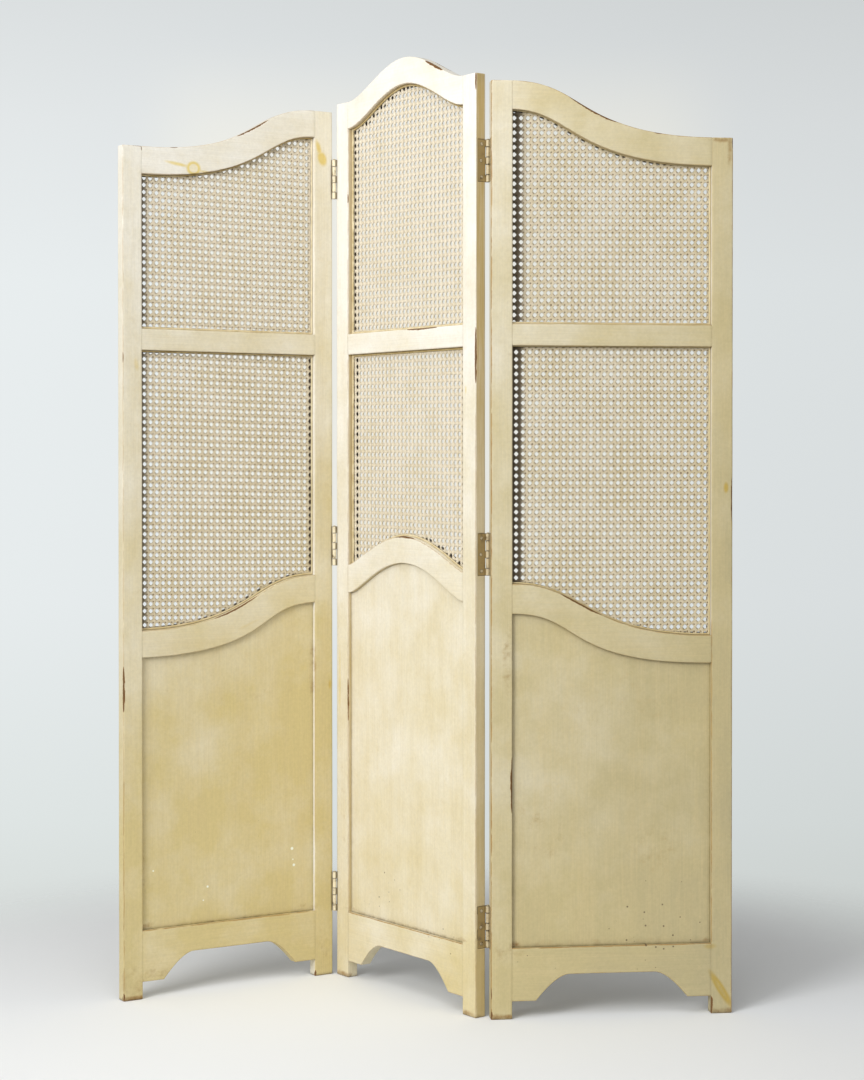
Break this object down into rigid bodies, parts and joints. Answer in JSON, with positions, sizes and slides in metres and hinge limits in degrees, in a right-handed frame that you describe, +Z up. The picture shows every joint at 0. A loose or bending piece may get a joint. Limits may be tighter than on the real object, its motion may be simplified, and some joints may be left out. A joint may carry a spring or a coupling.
{
  "type": "folding screen",
  "caption": "Folding room screen with painted frames, shaped top rails, open cane panels above plywood panels, joined by butt hinges.",
  "frame": {"origin": "on the floor, under the middle of the standing screen's overall box", "axes": "+Z up from the floor; front faces look towards -Y; +X runs along the width of the standing screen, to the right as seen from the front"},
  "size_m": [1.1222, 0.3848, 1.749],
  "materials": {
    "painted_frame": "satin antique cream paint, glazed and worn through at the edges",
    "painted_field": "satin antique cream paint, clouded with a brown glaze",
    "woven_cane": "woven cane, painted and rubbed",
    "reed_spline": "painted reed with a dark glaze in its corners",
    "hinge_steel": "steel butt hinge, painted over and rubbed bare"
  },
  "bodies": {
    "centre_panel": {"centre_bottom_rail": "painted_frame", "centre_cross_rail": "painted_frame", "centre_left_stile": "painted_frame", "centre_middle_cane": "woven_cane", "centre_middle_spline": "reed_spline", "centre_plywood_field": "painted_field", "centre_right_stile": "painted_frame", "centre_top_rail": "painted_frame", "centre_upper_cane": "woven_cane", "centre_upper_spline": "reed_spline", "centre_waist_rail": "painted_frame", "left_fold_lower_hinge_centre_leaf": "hinge_steel", "left_fold_lower_hinge_pin": "hinge_steel", "left_fold_middle_hinge_centre_leaf": "hinge_steel", "left_fold_middle_hinge_pin": "hinge_steel", "left_fold_upper_hinge_centre_leaf": "hinge_steel", "left_fold_upper_hinge_pin": "hinge_steel", "right_fold_lower_hinge_centre_leaf": "hinge_steel", "right_fold_lower_hinge_pin": "hinge_steel", "right_fold_middle_hinge_centre_leaf": "hinge_steel", "right_fold_middle_hinge_pin": "hinge_steel", "right_fold_upper_hinge_centre_leaf": "hinge_steel", "right_fold_upper_hinge_pin": "hinge_steel"},
    "left_panel": {"left_bottom_rail": "painted_frame", "left_cross_rail": "painted_frame", "left_fold_lower_hinge_side_leaf": "hinge_steel", "left_fold_middle_hinge_side_leaf": "hinge_steel", "left_fold_upper_hinge_side_leaf": "hinge_steel", "left_hinge_stile": "painted_frame", "left_middle_cane": "woven_cane", "left_middle_spline": "reed_spline", "left_outer_stile": "painted_frame", "left_plywood_field": "painted_field", "left_top_rail": "painted_frame", "left_upper_cane": "woven_cane", "left_upper_spline": "reed_spline", "left_waist_rail": "painted_frame"},
    "right_panel": {"right_bottom_rail": "painted_frame", "right_cross_rail": "painted_frame", "right_fold_lower_hinge_side_leaf": "hinge_steel", "right_fold_middle_hinge_side_leaf": "hinge_steel", "right_fold_upper_hinge_side_leaf": "hinge_steel", "right_hinge_stile": "painted_frame", "right_middle_cane": "woven_cane", "right_middle_spline": "reed_spline", "right_outer_stile": "painted_frame", "right_plywood_field": "painted_field", "right_top_rail": "painted_frame", "right_upper_cane": "woven_cane", "right_upper_spline": "reed_spline", "right_waist_rail": "painted_frame"}
  },
  "joints": [
    {"name": "left_fold", "type": "hinge", "parent": "centre_panel", "child": "left_panel", "pos_m": [-0.17056, 0.17115, 0.834], "axis": [0, 0, 1], "range_deg": [-84.8, 95.2]},
    {"name": "right_fold", "type": "hinge", "parent": "centre_panel", "child": "right_panel", "pos_m": [0.11916, -0.16667, 0.8305], "axis": [0, 0, 1], "range_deg": [-60.2, 119.8]}
  ]
}
